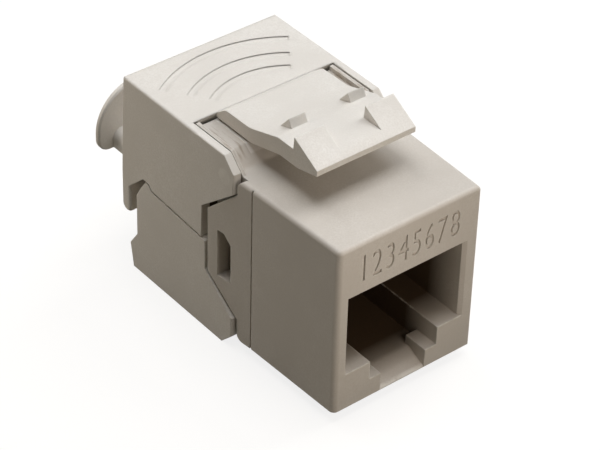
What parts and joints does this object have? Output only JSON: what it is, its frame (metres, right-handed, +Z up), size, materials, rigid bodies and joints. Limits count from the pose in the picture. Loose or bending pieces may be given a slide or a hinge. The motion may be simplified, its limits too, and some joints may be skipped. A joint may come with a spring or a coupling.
{
  "type": "keystone jack",
  "caption": "Toolless keystone jack: one-piece latch housing with a modular plug port, two hinged wiring arms and a cable collar.",
  "frame": {"origin": "bottom centre of the whole part, on the plane it rests on", "axes": "+Y from the plug port towards the cable end, +Z up towards the latch lever, +X to the right seen from the front"},
  "size_m": [0.0162, 0.0316, 0.0224],
  "materials": {
    "housing_plastic": "fine satin moulded, warm off-white",
    "arm_plastic": "fine satin moulded, warm off-white",
    "block_plastic": "satin moulded",
    "carrier_plastic": "satin moulded, dark brown",
    "board": "green solder mask",
    "contact_metal": "gold plated",
    "terminal_metal": "tin plated bronze"
  },
  "bodies": {
    "housing": {"front_housing": "housing_plastic", "terminal_block": "block_plastic", "contact_carrier": "carrier_plastic", "circuit_board": "board", "contact_1": "contact_metal", "contact_2": "contact_metal", "contact_3": "contact_metal", "contact_4": "contact_metal", "contact_5": "contact_metal", "contact_6": "contact_metal", "contact_7": "contact_metal", "contact_8": "contact_metal", "idc_terminal_1": "terminal_metal", "idc_terminal_2": "terminal_metal", "idc_terminal_3": "terminal_metal", "idc_terminal_4": "terminal_metal", "idc_terminal_5": "terminal_metal", "idc_terminal_6": "terminal_metal", "idc_terminal_7": "terminal_metal", "idc_terminal_8": "terminal_metal"},
    "upper_arm": {"upper_arm": "arm_plastic"},
    "lower_arm": {"lower_arm": "arm_plastic"}
  },
  "joints": [
    {"name": "upper_arm_hinge", "type": "hinge", "parent": "housing", "child": "upper_arm", "pos_m": [0, -0.00225, 0.01701], "axis": [1, 0, 0], "range_deg": [0, 70]},
    {"name": "lower_arm_hinge", "type": "hinge", "parent": "housing", "child": "lower_arm", "pos_m": [0, -0.00225, 0.00199], "axis": [-1, 0, 0], "range_deg": [0, 55]}
  ]
}
